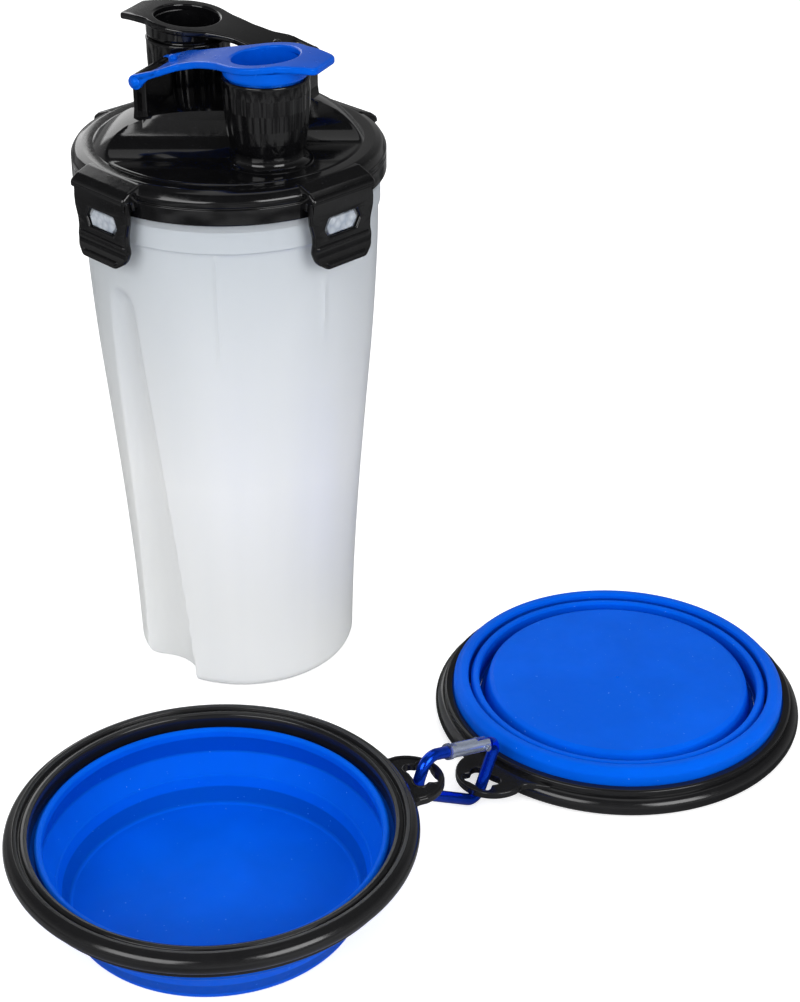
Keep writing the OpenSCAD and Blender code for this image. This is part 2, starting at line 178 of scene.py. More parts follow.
def black_satin(colour):
    """Satin moulded black of the rims: an even fine spark texture with faint rub marks."""
    # repeats: rub marks 8 mm, sheen 4 mm, mould waves 11 mm
    # the real spark texture is finer than the 0.2 mm drawn, which is about what can show
    g = Graph("black_satin_rim")
    base = linear(colour)
    rub = g.add(RANGE, value=g.add(NOISE, scale=120, detail=5, roughness=0.7), from_min=0.5, from_max=0.8)
    g.feed("Base Color", g.add(MIX, data_type="RGBA", factor=rub, a=base, b=shade(base, 1.35)))
    sheen = g.add(NOISE, scale=260, detail=4)
    g.feed("Roughness", g.add(RANGE, value=sheen, from_min=0.3, from_max=0.7, to_min=0.12, to_max=0.2))
    spark = g.add(BUMP, height=g.add(NOISE, scale=5200, detail=2), distance=0.000008)
    wave = g.add(NOISE, scale=90, detail=2)
    g.feed("Normal", g.add(BUMP, height=wave, distance=0.00003, normal=spark))
    return g.material


def blue_silicone(colour):
    """Matt food-grade silicone: soft, slightly glowing, with dust specks, a fine moulded skin and painted
    shade in two recessed bands.
    """
    # repeats: clouds 30 mm, dust specks 0.9 mm, sheen 3 mm, mould waves 17 mm
    # the real skin is finer than the 0.3 mm drawn, which is about what can show
    g = Graph("blue_silicone")
    base = linear(colour)
    cloud = g.add(RANGE, value=g.add(NOISE, scale=34, detail=3), from_min=0.35, from_max=0.7)
    speck = g.add(RANGE, value=g.add(NOISE, scale=1100, detail=1), from_min=0.775, from_max=0.79)
    tone = g.add(MIX, data_type="RGBA", factor=cloud, a=shade(base, 0.90), b=shade(base, 1.06))
    height = g.add("ShaderNodeSeparateXYZ").outputs[2]
    skin = tone
    # painted shade: the colour is darkened in the two recessed bands, by height in metres, for the shade that
    # lies in them
    for low, high, depth in ((0.0023, 0.0074, 0.66), (0.0172, 0.0243, 0.74)):
        above = g.add(RANGE, value=height, from_min=low, from_max=low + 0.0005)
        folded = g.add(MIX, data_type="RGBA", factor=above, a=skin, b=shade(base, depth))
        past = g.add(RANGE, value=height, from_min=high, from_max=high + 0.0005)
        skin = g.add(MIX, data_type="RGBA", factor=past, a=folded, b=tone)
    g.feed("Base Color", g.add(MIX, data_type="RGBA", factor=speck, a=skin, b=linear("#5590e8")))
    g.feed("Specular Tint", (0.08, 0.4, 1, 1))
    sheen = g.add(NOISE, scale=300, detail=3)
    g.feed("Roughness", g.add(RANGE, value=sheen, from_min=0.3, from_max=0.7, to_min=0.44, to_max=0.56))
    g.feed("Subsurface Weight", 0.12)
    g.feed("Subsurface Radius", (0.0006, 0.0012, 0.004))
    g.feed("Specular IOR Level", 0.12)
    grain = g.add(BUMP, height=g.add(NOISE, scale=3600, detail=2), distance=0.000008)
    wave = g.add(NOISE, scale=60, detail=2)
    g.feed("Normal", g.add(BUMP, height=wave, distance=0.00003, normal=grain))
    return g.material


def blue_plastic(colour):
    """Satin moulded blue polypropylene of the water cap."""
    # repeats: tint 11 mm, sheen 2 mm, mould waves 17 mm
    # the real grain is finer than the 0.3 mm drawn, which is about what can show
    g = Graph("blue_cap_plastic")
    base = linear(colour)
    tint = g.add(RANGE, value=g.add(NOISE, scale=90, detail=3), from_min=0.35, from_max=0.7)
    g.feed("Base Color", g.add(MIX, data_type="RGBA", factor=tint, a=shade(base, 0.93), b=shade(base, 1.08)))
    g.feed("Specular Tint", (0.1, 0.4, 1, 1))
    sheen = g.add(NOISE, scale=500, detail=4)
    g.feed("Roughness", g.add(RANGE, value=sheen, from_min=0.3, from_max=0.7, to_min=0.18, to_max=0.28))
    grain = g.add(BUMP, height=g.add(NOISE, scale=3000, detail=2), distance=0.000004)
    wave = g.add(NOISE, scale=60, detail=2)
    g.feed("Normal", g.add(BUMP, height=wave, distance=0.00003, normal=grain))
    return g.material


def frosted(colour):
    """Frosted translucent polypropylene: milky, with painted shade that makes it darker and a little cooler
    towards the lid, and slow flow clouds.
    """
    # repeats: clouds 60 mm across and twice that in height, flow streaks 17 mm, mould waves 33 mm
    # the real frosting is finer than the 0.6 mm drawn, which is coarse so as to show
    g = Graph("frosted_polypropylene")
    height = g.add("ShaderNodeSeparateXYZ").outputs[2]
    base = linear(colour)
    # painted shade: darker and a little cooler from 85 mm up to 190 mm, towards the lid
    lid_shade_colour = (base[0] * 0.55, base[1] * 0.59, base[2] * 0.64, 1)
    lid_shade_amount = g.add(RANGE, value=height, from_min=0.085, from_max=0.19)
    tone = g.add(MIX, data_type="RGBA", factor=lid_shade_amount, a=base, b=lid_shade_colour)
    clouds = g.add(NOISE, vector=g.add(MAPPING, scale=(1, 1, 0.5)), scale=16, detail=2)
    cloud = g.add(RANGE, value=clouds, from_min=0.3, from_max=0.75, to_max=0.12)
    lines = g.add(NOISE, vector=g.add(MAPPING, scale=(1, 1, 0.03)), scale=60, detail=2)
    streak = g.add(RANGE, value=lines, from_min=0.35, from_max=0.75, to_max=0.1)
    milky = g.add(MIX, data_type="RGBA", factor=cloud, a=tone, b=linear("#ffffff"))
    g.feed("Base Color", g.add(MIX, data_type="RGBA", factor=streak, a=milky, b=linear("#b4bcc4")))
    sheen = g.add(NOISE, scale=20, detail=2)
    g.feed("Roughness", g.add(RANGE, value=sheen, from_min=0.3, from_max=0.7, to_min=0.3, to_max=0.34))
    g.feed("Subsurface Weight", 0.35)
    g.feed("Subsurface Radius", (0.009, 0.009, 0.009))
    grain = g.add(BUMP, height=g.add(NOISE, scale=1800, detail=3), distance=0.000008)
    wave = g.add(NOISE, vector=g.add(MAPPING, scale=(1, 1, 0.4)), scale=30, detail=2)
    g.feed("Normal", g.add(BUMP, height=wave, distance=0.00008, normal=grain))
    return g.material


def clear_plastic():
    """Clearer, pebbled polypropylene of the latch lugs."""
    # repeats: pebbles 2.4 mm, grain 1.1 mm, both coarser than the real ones so as to show
    g = Graph("lug_polypropylene")
    facet = g.add(VORONOI, scale=420)
    g.feed("Base Color", g.add(MIX, data_type="RGBA", factor=facet, a=linear("#dfe5ec"), b=linear("#a9b4c2")))
    g.feed("Roughness", 0.16)
    g.feed("Transmission Weight", 0.35)
    g.feed("IOR", 1.49)
    pebbles = g.add(BUMP, height=facet, distance=0.0005)
    grain = g.add(NOISE, scale=900, detail=2)
    g.feed("Normal", g.add(BUMP, height=grain, distance=0.0001, normal=pebbles))
    return g.material


def metal(name, colour, roughness, along):
    """Polished or anodised aluminium with fine drawing lines along the given stretch."""
    # repeats every 1.4 mm before the stretch, far coarser than real drawing lines, so as to show at all
    g = Graph(name)
    base = linear(colour)
    line = g.add(NOISE, vector=g.add(MAPPING, scale=along), scale=700, detail=3, roughness=0.6)
    drawn = g.add(RANGE, value=line, from_min=0.3, from_max=0.7)
    g.feed("Base Color", g.add(MIX, data_type="RGBA", factor=drawn, a=shade(base, 0.86), b=shade(base, 1.1)))
    g.feed("Metallic", 0.85)
    g.feed("Roughness", g.add(RANGE, value=line, from_min=0.3, from_max=0.7, to_min=roughness * 0.8,
                              to_max=roughness * 1.3))
    g.feed("Normal", g.add(BUMP, height=line, distance=0.000012))
    return g.material


def seal_silicone():
    """Milky soft silicone of the seal ring."""
    # repeats: clouds 5 mm, sheen 2 mm
    g = Graph("seal_silicone")
    cloud = g.add(NOISE, scale=200, detail=3)
    g.feed("Base Color", g.add(MIX, data_type="RGBA", factor=cloud, a=linear("#b9bdc4"), b=linear("#d3d7dc")))
    sheen = g.add(NOISE, scale=500, detail=2)
    g.feed("Roughness", g.add(RANGE, value=sheen, from_min=0.3, from_max=0.7, to_min=0.42, to_max=0.55))
    g.feed("Subsurface Weight", 0.2)
    g.feed("Subsurface Radius", (0.002, 0.002, 0.003))
    return g.material


# ---------------------------------------------------------------- mesh helpers
def add_object(name, verts, faces, material, sharp=35):
    """A mesh object from points in mm, smooth but for edges sharper than the given degrees."""
    mesh = bpy.data.meshes.new(name)
    mesh.from_pydata([Vector(v) * MM for v in verts], [], faces)
    mesh.validate()
    return finish_mesh(name, mesh, material, sharp)


def finish_mesh(name, mesh, material, sharp=35):
    """Faces turned outwards, shading set, material given."""
    bm = bmesh.new()
    bm.from_mesh(mesh)
    bmesh.ops.remove_doubles(bm, verts=bm.verts, dist=1e-6)
    bmesh.ops.recalc_face_normals(bm, faces=bm.faces)
    bm.to_mesh(mesh)
    bm.free()
    mesh.shade_smooth()
    mesh.set_sharp_from_angle(angle=math.radians(sharp))
    mesh.materials.clear()
    mesh.materials.append(material)
    thing = bpy.data.objects.new(name, mesh)
    bpy.context.scene.collection.objects.link(thing)
    return thing


def rounded(corners, closed=True, steps=5):
    """Outline with its corners rounded. A corner is (x, y) or (x, y, radius)."""
    out = []
    n = len(corners)
    for i, corner in enumerate(corners):
        here = Vector(corner[:2])
        radius = corner[2] if len(corner) > 2 else 0
        if radius == 0 or (not closed and i in (0, n - 1)):
            out.append(tuple(here))
            continue
        a = Vector(corners[i - 1][:2]) - here
        b = Vector(corners[(i + 1) % n][:2]) - here
        half = a.angle(b) / 2
        reach = min(radius / math.tan(half), a.length * 0.49, b.length * 0.49)
        radius = reach * math.tan(half)
        centre = here + (a.normalized() + b.normalized()).normalized() * radius / math.sin(half)
        start = here + a.normalized() * reach - centre
        turn = (here + b.normalized() * reach - centre).angle_signed(start)
        for k in range(steps + 1):
            angle = turn * k / steps
            c, s = math.cos(angle), math.sin(angle)
            out.append((centre.x + start.x * c - start.y * s, centre.y + start.x * s + start.y * c))
    return out


def arc(cx, cy, r, a0, a1, n=8):
    """Points of an arc, angles in degrees."""
    angles = [math.radians(a0 + (a1 - a0) * i / n) for i in range(n + 1)]
    return [(cx + r * math.cos(a), cy + r * math.sin(a)) for a in angles]


def lathe(name, outline, material, turns=144, closed=True, sharp=35, change=None):
    """Solid of revolution about Z of an outline of (r, z). change moves a point (r, z, angle) to (r, z)."""
    verts, faces = [], []
    n = len(outline)
    for k in range(turns):
        angle = 2 * math.pi * k / turns
        for r, z in outline:
            if change:
                r, z = change(r, z, angle)
            verts.append((r * math.cos(angle), r * math.sin(angle), z))
    for k in range(turns):
        for i in range(n if closed else n - 1):
            j = (i + 1) % n
            quad = [k * n + i, k * n + j, (k + 1) % turns * n + j, (k + 1) % turns * n + i]
            if outline[i][0] == 0 and outline[j][0] == 0:
                continue
            if outline[i][0] == 0:
                quad.pop(3)
            elif outline[j][0] == 0:
                quad.pop(2)
            faces.append(quad)
    return add_object(name, verts, faces, material, sharp)


def mesh_of(curve):
    """Mesh of a curve, which is used up."""
    maker = bpy.data.objects.new(curve.name, curve)
    bpy.context.scene.collection.objects.link(maker)
    mesh = bpy.data.meshes.new_from_object(maker.evaluated_get(bpy.context.evaluated_depsgraph_get()))
    bpy.data.objects.remove(maker)
    bpy.data.curves.remove(curve)
    return mesh


def slab(name, outline, holes, low, high, material, edge=0.5, cuts=()):
    """Plate with rounded edges between two heights, from an outline and holes in its plane, in mm.

    cuts are (axis, value) planes that the plate is cut along, so that it can bend there.
    """
    curve = bpy.data.curves.new(name, "CURVE")
    curve.dimensions = "2D"
    curve.fill_mode = "BOTH"
    curve.extrude = ((high - low) / 2 - edge) * MM
    curve.bevel_depth = edge * MM
    curve.bevel_resolution = 3
    curve.offset = -edge * MM
    for loop in [outline, *holes]:
        spline = curve.splines.new("POLY")
        spline.points.add(len(loop) - 1)
        for point, (x, y) in zip(spline.points, loop):
            point.co = (x * MM, y * MM, 0, 1)
        spline.use_cyclic_u = True
    mesh = mesh_of(curve)
    mesh.transform(Matrix.Translation((0, 0, (high + low) / 2 * MM)))
    if cuts:
        bm = bmesh.new()
        bm.from_mesh(mesh)
        for axis, value in cuts:
            normal = [0, 0, 0]
            normal[axis] = 1
            bmesh.ops.bisect_plane(bm, geom=bm.verts[:] + bm.edges[:] + bm.faces[:], dist=1e-7,
                                   plane_co=[c * value * MM for c in normal], plane_no=normal)
        bm.to_mesh(mesh)
        bm.free()
    return flatten_shading(finish_mesh(name, mesh, material, 40))


def flatten_shading(thing):
    """Keeps large flat faces flat beside rounded edges."""
    modifier = thing.modifiers.new("weights", "WEIGHTED_NORMAL")
    modifier.keep_sharp = True
    now = bpy.context.evaluated_depsgraph_get()
    thing.data = bpy.data.meshes.new_from_object(
        thing.evaluated_get(now), preserve_all_data_layers=True, depsgraph=now)
    thing.modifiers.clear()
    return thing


def warp(thing, move):
    """Moves each point by a function of its place in mm."""
    for v in thing.data.vertices:
        v.co = Vector(move(*(v.co / MM))) * MM
    thing.data.update()
    return thing


def tube(name, path, radius, material, sides=5):
    """Round rod along points in mm, with flat ends."""
    curve = bpy.data.curves.new(name, "CURVE")
    curve.dimensions = "3D"
    curve.bevel_depth = radius * MM
    curve.bevel_resolution = sides
    curve.use_fill_caps = True
    spline = curve.splines.new("POLY")
    spline.points.add(len(path) - 1)
    for point, place in zip(spline.points, path):
        point.co = (*(Vector(place) * MM), 1)
    return finish_mesh(name, mesh_of(curve), material, 60)


def place(thing, matrix):
    """Carries a piece's mesh to its place, so that its object stays at the origin."""
    m = matrix.copy()
    m.translation = m.translation * MM
    thing.data.transform(m)
    if m.determinant() < 0:
        thing.data.flip_normals()
    thing.data.update()
    return thing


def join(name, things):
    """One piece from several."""
    first = things[0]
    with bpy.context.temp_override(active_object=first, selected_editable_objects=things):
        bpy.ops.object.join()
    first.name = name
    return first


UPRIGHT = Matrix.Rotation(math.pi / 2, 4, "X")
ON_EDGE = Matrix(((0, 0, 1, 0), (1, 0, 0, 0), (0, 1, 0, 0), (0, 0, 0, 1)))


def turn_z(degrees):
    """Turn about Z."""
    return Matrix.Rotation(math.radians(degrees), 4, "Z")


def at(x, y, z, degrees=0):
    """Turn about Z, then a move."""
    return Matrix.Translation((x, y, z)) @ turn_z(degrees)


def dress(thing, body, slot, *nodes):
    """Makes a piece ride on a body and stand for CAD nodes, which it hides. The slot is not used."""
    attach(thing, body)
    if nodes:
        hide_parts(*nodes)


def paint_node(name, material):
    """Gives a CAD node that stays in view its material."""
    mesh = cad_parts[name].data
    mesh.materials.clear()
    mesh.materials.append(material)


def soft_min(a, b, k):
    """The smaller of two heights, rounded over k where they cross."""
    h = max(k - abs(a - b), 0) / k
    return min(a, b) - h * h * k / 4


# ---------------------------------------------------------------- bottle body
FOOT_R, SHOULDER_R, BODY_H, WALL = 39.8, 50.2, 188.0, 1.5
COLLAR_Z, COLLAR_R = 176.0, 50.9
GROOVE_R0, GROOVE_R1, GROOVE_Y0, GROOVE_Y1, GROOVE_TOP = 16.0, 8.2, 45.5, 55.3, 151.0
FOOT_ROUND, LUG_Z, QUARTERS = 4.9, 183.0, (0, 90, 180, 270)
SIDE = [(FOOT_ROUND, FOOT_R), (31, 40.7), (65, 42.8), (98, 45.5), (130, 48.2), (158, 49.8),
        (COLLAR_Z, SHOULDER_R)]
# ribs as (degrees, low, high), and how far they stand out
RIBS = ((-47, 131, 176), (-3.8, 138, 163), (133, 131, 176), (176.2, 138, 163))
RIB_RISE = 0.5


def side_radius(z):
    """Radius of the bottle's side: a smooth curve through its sections, rounded into the foot."""
    if z >= COLLAR_Z:
        step = min(1.0, (z - COLLAR_Z) / 0.8)
        return SHOULDER_R + (COLLAR_R - SHOULDER_R) * step * step * (3 - 2 * step)
    if z < FOOT_ROUND:
        return FOOT_R - FOOT_ROUND + math.sqrt(max(0, FOOT_ROUND ** 2 - (FOOT_ROUND - z) ** 2))
    for i in range(len(SIDE) - 1):
        (z0, r0), (z1, r1) = SIDE[i], SIDE[i + 1]
        if z <= z1:
            before = SIDE[i - 1] if i else (z0 - 30, r0 - 0.8)
            after = SIDE[i + 2] if i + 2 < len(SIDE) else (z1 + 20, r1)
            slope0 = (r1 - before[1]) / (z1 - before[0])
            slope1 = (after[1] - r0) / (after[0] - z0)
            t = (z - z0) / (z1 - z0)
            h = z1 - z0
            return ((2 * t ** 3 - 3 * t ** 2 + 1) * r0 + (t ** 3 - 2 * t ** 2 + t) * h * slope0
                    + (-2 * t ** 3 + 3 * t ** 2) * r1 + (t ** 3 - t ** 2) * h * slope1)
    return SHOULDER_R


def grooved(radius, z, angle, inside, soften):
    """Radius where a thumb groove presses the side in, at an angle from the nearest groove's middle."""
    t = min(z / GROOVE_TOP, 1)
    centre = GROOVE_Y0 + (GROOVE_Y1 - GROOVE_Y0) * t
    reach = GROOVE_R0 + (GROOVE_R1 - GROOVE_R0) * t
    if z > GROOVE_TOP:
        reach = math.sqrt(max(0.01, GROOVE_R1 ** 2 - (z - GROOVE_TOP) ** 2))
    reach += inside
    grazing = math.asin(reach / centre)
    if angle < grazing:
        near = centre * math.cos(angle) - math.sqrt(reach ** 2 - (centre * math.sin(angle)) ** 2)
    else:
        near = math.sqrt(centre ** 2 - reach ** 2) + centre * (angle - grazing)
    return soft_min(radius, near, soften)


def from_groove(angle):
    """Angle from the nearer groove's middle, which lies at +Y or -Y."""
    return math.atan2(abs(math.cos(angle)), abs(math.sin(angle)))


def rib_height(z, degrees):
    """Faint raised lines that run down the side."""
    rise = 0.0
    for middle, low, high in RIBS:
        off = (degrees - middle + 180) % 360 - 180
        if abs(off) < 2.4 and low < z < high:
            ends = min(1, (z - low) / 10, (high - z) / 2)
            rise += RIB_RISE * ends * math.exp(-(off / 0.9) ** 2)
    return rise


def body_shell(name, inside, rows, turns, soften, material):
    """The bottle's side as rings of points, closed over its foot."""
    verts, faces = [], []
    for z in rows:
        for k in range(turns):
            angle = 2 * math.pi * k / turns
            r = grooved(side_radius(z if inside == 0 else max(z - 0.4, 0.4)) - inside, z,
                        from_groove(angle), inside, soften)
            if inside == 0:
                r += rib_height(z, math.degrees(angle))
            verts.append((r * math.cos(angle), r * math.sin(angle), z))
    for i in range(len(rows) - 1):
        for k in range(turns):
            q = (k + 1) % turns
            faces.append([i * turns + k, i * turns + q, (i + 1) * turns + q, (i + 1) * turns + k])
    for share in (0.7, 0.35):
        start = len(verts)
        z = rows[0]
        verts += [(verts[k][0] * share, verts[k][1] * share, z) for k in range(turns)]
        ring = 0 if share == 0.7 else start - turns
        for k in range(turns):
            q = (k + 1) % turns
            faces.append([ring + q, ring + k, start + k, start + q])
    faces.append([len(verts) - turns + k for k in reversed(range(turns))])
    return add_object(name, verts, faces, material)


class BottleBody(bpy.types.Operator):
    """Frosted bottle with its thumb grooves, divider and latch lugs"""

    bl_idname = "travel_bottle.body"
    bl_label = "Bottle body"

    def execute(self, context):
        settings = context.scene.bottle_settings
        skin = frosted(settings.body_colour)
        soften = settings.groove_soften / MM
        foot = [FOOT_ROUND * (1 - math.cos(math.radians(a))) for a in range(0, 91, 10)]
        rows = foot + [7 + 2.35 * i for i in range(61)] + [150 + 1.3 * i for i in range(20)]
        rows += [COLLAR_Z + s for s in (0, 0.25, 0.5, 0.8)] + [180, 184, BODY_H - 0.3]
        outer = body_shell("body_outer", 0, rows, 360, soften, skin)
        inner_rows = [1.8, 2.4, 3.4] + [5 + 4 * i for i in range(46)]
        inner = body_shell("body_inner", WALL, inner_rows, 160, soften, skin)
        bore = SHOULDER_R - WALL
        mouth = lathe("body_mouth", rounded([(bore, 184), (COLLAR_R, 184, 0.1), (COLLAR_R, BODY_H, 0.5),
                                             (bore, BODY_H, 0.4)]), skin)
        half = [(47.6, 186), (47.2, 162), (44.5, 153), (38.8, 100), (27.5, 3)]
        divider = slab("divider", [(-x, z) for x, z in half] + half[::-1], [], -1, 1, skin, 0.4)
        place(divider, turn_z(90) @ UPRIGHT)
        shell = join("bottle_shell", [outer, inner, mouth, divider])
        dress(shell, "bottle", "frosted_body", "bottle_body")
        lug_skin = clear_plastic()
        lugs = []
        for degrees in QUARTERS:
            lug = slab("lug", rounded([(-6.7, 0, 0.6), (-5.5, -2.8, 0.6), (4.7, -2.8, 0.6), (6.7, 0, 0.6),
                                       (5.5, 2.8, 0.6), (-4.7, 2.8, 0.6)]), [], 49, 55, lug_skin, 0.5)
            lugs.append(place(lug, at(0, 0, LUG_Z, degrees) @ ON_EDGE))
        dress(join("latch_lugs", lugs), "bottle", "frosted_body")
        return {"FINISHED"}


# ---------------------------------------------------------------- lid
RING_Z, RING_R, LID_T, SKIRT_R, SKIRT_Z = 198.0, 45.6, 1.8, 53.05, 187.0
DOME_H, RIDGE_A, RIDGE_Y, STEP_Y, STEP_X, VALLEY_R = 14.4, 45.0, 15.5, 2.5, 21.0, 11.0
SPOUT = (25.4, -5.0)
ARM_A, ARM_L, PIN_Z = 21.6, 41.8, 222.0
HINGE_X, HINGE_Z, LATCH_W = 54.6, 193.2, 27.6


def valley(beyond, sideways, under):
    """Height of a hollow's surface, at a distance beyond its edge and past its side."""
    floor = RING_Z + 0.4 - under
    wall = 14.0
    if beyond <= 0:
        height = floor + VALLEY_R - wall * beyond
    elif beyond < VALLEY_R:
        height = floor + VALLEY_R - math.sqrt(VALLEY_R ** 2 - (VALLEY_R - beyond) ** 2)
    else:
        height = floor
    return height + wall * max(0, -sideways)


def dome_height(x, y, under, crease):
    """Height of the dome's skin, or of its underside."""
    r = min(1.02, math.hypot(x, y) / (RING_R - under))
    height = RING_Z - under + DOME_H * (1 - r ** 4)
    for side in (0, 180):
        a = math.radians(RIDGE_A + side)
        u = x * math.cos(a) + y * math.sin(a)
        v = -x * math.sin(a) + y * math.cos(a)
        for cut in (valley(-v - RIDGE_Y + under, 1, under),
                    valley(-v + STEP_Y + under, u - STEP_X + under, under)):
            height = soft_min(height, cut, crease)
    return height


def dome_sheet(name, under, step, crease, holes, material):
    """The dome as a square grid that ends under the rim ring, with holes over the spouts."""
    edge = RING_R - under + 0.35
    count = int(edge / step) + 1
    verts, faces, index = [], [], {}
    c, s = math.cos(math.radians(RIDGE_A)), math.sin(math.radians(RIDGE_A))

    def point(i, j):
        if (i, j) not in index:
            u, v = i * step, j * step
            reach = math.hypot(u, v)
            if reach > edge:
                u, v = u * edge / reach, v * edge / reach
            x, y = u * c - v * s, u * s + v * c
            index[i, j] = len(verts)
            verts.append((x, y, dome_height(x, y, under, crease)))
        return index[i, j]

    for i in range(-count, count):
        for j in range(-count, count):
            middle_u, middle_v = (i + 0.5) * step, (j + 0.5) * step
            if math.hypot(middle_u, middle_v) > edge:
                continue
            x, y = middle_u * c - middle_v * s, middle_u * s + middle_v * c
            if any(math.hypot(x - hx, y - hy) < holes[1] for hx, hy in holes[0]):
                continue
            faces.append([point(i, j), point(i + 1, j), point(i + 1, j + 1), point(i, j + 1)])
    return add_object(name, verts, faces, material, 50)


def spout(material, flute):
    """One spout: swept foot, fluted tulip side, bright lip and its bore."""
    side = [(11.8, 202.6), (12.4, 204), (13.1, 207), (13.8, 211.5), (14.25, 217), (14.4, 222),
            (14.3, 225.6)]
    outline = [(15.4, 198.1), *arc(14.2, 200.9, 2.4, -75, -168, 8)]
    outline += rounded([(11.75, 201.6), *[(r, z, 3) for r, z in side]], closed=False, steps=5)[1:]
    outline += arc(13.85, 226.2, 0.55, 0, 180, 6)
    outline += [(13.0, 225.4), (12.9, 220), (11, 206), (10, 199), (10, 190)]

    def fluted(r, z, angle):
        if r > 11.7 and 203 < z < 225.2:
            ends = min(1, (z - 203) / 5, (225.2 - z) / 1.2)
            r -= flute * ends * (0.5 + 0.5 * math.cos(14 * angle)) ** 2
        return r, z

    return lathe("spout", outline, material, 216, closed=False, change=fluted, sharp=40)


def cap_matrix():
    """Places what belongs to the water cap's own axes: x from plug to tab, hinge at -ARM_L."""
    return at(SPOUT[0], SPOUT[1], 0, ARM_A)


def hinge_post(material):
    """Post with flared feet and a brace, rounded over the hinge rod."""
    half = 9.3
    side = [(-5.2, 200), (-3.4, 205, 4), (-2.5, 212, 3), *arc(0, PIN_Z, 2.5, 180, 0, 10),
            (2.5, 212, 3), (3.4, 205, 4), (5.2, 200)]
    post = slab("hinge_post", rounded(side), [], -half, half, material, 0.45)
    place(post, UPRIGHT)
    brace = slab("post_brace", rounded([(-1.2, 201), (-1.2, 219, 0.8), (1.2, 219, 0.8), (1.2, 201)]), [],
                 -half, half, material, 0.3)
    place(brace, UPRIGHT)
    return place(join("post", [post, brace]), cap_matrix() @ Matrix.Translation((-ARM_L, 0, 0)))


def latch_rail(material):
    """Rail on the rim that carries a latch's hinge."""
    section = [(44.8, 190), (44.8, 197.95), (49.6, 197.95, 2.5), (54.2, 196.3, 3),
               *arc(HINGE_X, HINGE_Z, 2.3, 55, -20, 8), (53.4, 192.3, 0.3), (52.9, 189.6, 0.3)]
    rail = slab("rail", rounded(section), [], -LATCH_W / 2, LATCH_W / 2, material, 1.1)
    return place(rail, UPRIGHT)


class Lid(bpy.types.Operator):
    """Black lid: creased dome, rim ring, two fluted spouts, hinge posts and latch rails"""

    bl_idname = "travel_bottle.lid"
    bl_label = "Lid"

    def execute(self, context):
        settings = context.scene.bottle_settings
        skin = black_gloss(settings.lid_colour)
        crease = settings.crease / MM
        spouts = [SPOUT, (-SPOUT[0], -SPOUT[1])]
        parts = [dome_sheet("dome", 0, 0.5, crease, (spouts, 10.8), skin),
                 dome_sheet("dome_under", LID_T, 1.2, crease, (spouts, 9.6), skin)]
        ring = [(RING_R - LID_T, 189.8), (RING_R - LID_T, RING_Z - 2), (RING_R - 0.3, RING_Z, 0.3),
                (49.2, RING_Z, 2.5), (51.6, 197.3, 2.2), (SKIRT_R, 195.0, 1.8), (SKIRT_R, 193.4, 0.3),
                (SKIRT_R - 0.35, 193.1, 0.2), (SKIRT_R - 0.35, 192.7, 0.2), (SKIRT_R, 192.4, 0.3),
                (SKIRT_R, SKIRT_Z, 0.6), (51.3, SKIRT_Z, 0.4), (51.3, 189.8)]
        parts.append(lathe("rim_ring", rounded(ring, steps=6), skin, 288))
        wall = rounded([(46.8, 185, 0.4), (48.3, 185, 0.4), (48.3, 190), (46.8, 190)])
        parts.append(lathe("seal_wall", wall, skin))
        for half_turn in (0, 180):
            parts.append(place(spout(skin, settings.flute_depth / MM), turn_z(half_turn) @ at(*SPOUT, 0)))
            parts.append(place(hinge_post(skin), turn_z(half_turn)))
        for degrees in QUARTERS:
            parts.append(place(latch_rail(skin), turn_z(degrees)))
        dress(join("lid_shell", parts), "bottle", "black_gloss", "lid")
        paint_node("lid_gasket", seal_silicone())
        return {"FINISHED"}


# ---------------------------------------------------------------- caps
PLATE_Z, PLATE_R, TAB_X, CAP_SLOPE, CUP_R = 233.2, 15.2, 21.6, 6.0, 11.1
PLATE_T, LEG_Y, LEG_T, PIN_R, PIN_Y = 2.4, 10.9, 2.0, 1.5, 5.2
# the arm's top runs level from here to its end
LEVEL_X = -40.5


def plate_top(x):
    """Height of a cap's top at a distance from the plug's centre line."""
    return (PLATE_Z + x * math.tan(math.radians(CAP_SLOPE)) - 0.0054 * max(0, -x - 12) ** 2
            - 0.008 * max(0, x - 6) ** 2)


def cap_outline(tab_corner):
    """Cup ring, thumb tab, waisted arm and fork, as one outline with rounded corners."""
    leg = LEG_Y + LEG_T / 2
    notch = LEG_Y - LEG_T / 2
    upper = [(TAB_X, 7.6, tab_corner), (14, 10.6, 5), *arc(0, 0, PLATE_R, 52, 118, 12), (-12.5, 10.6, 4),
             (-21, 8.2, 8), (-28, 8.6, 5), (-33, leg, 3), (-ARM_L, leg)]
    lower = [(x, -y, *r) for x, y, *r in reversed(upper)]
    fork = [(-ARM_L, notch), (-35.8, notch, 2.5), (-35.8, -notch, 2.5), (-ARM_L, -notch)]
    return rounded([*upper, *fork, *lower], steps=6)


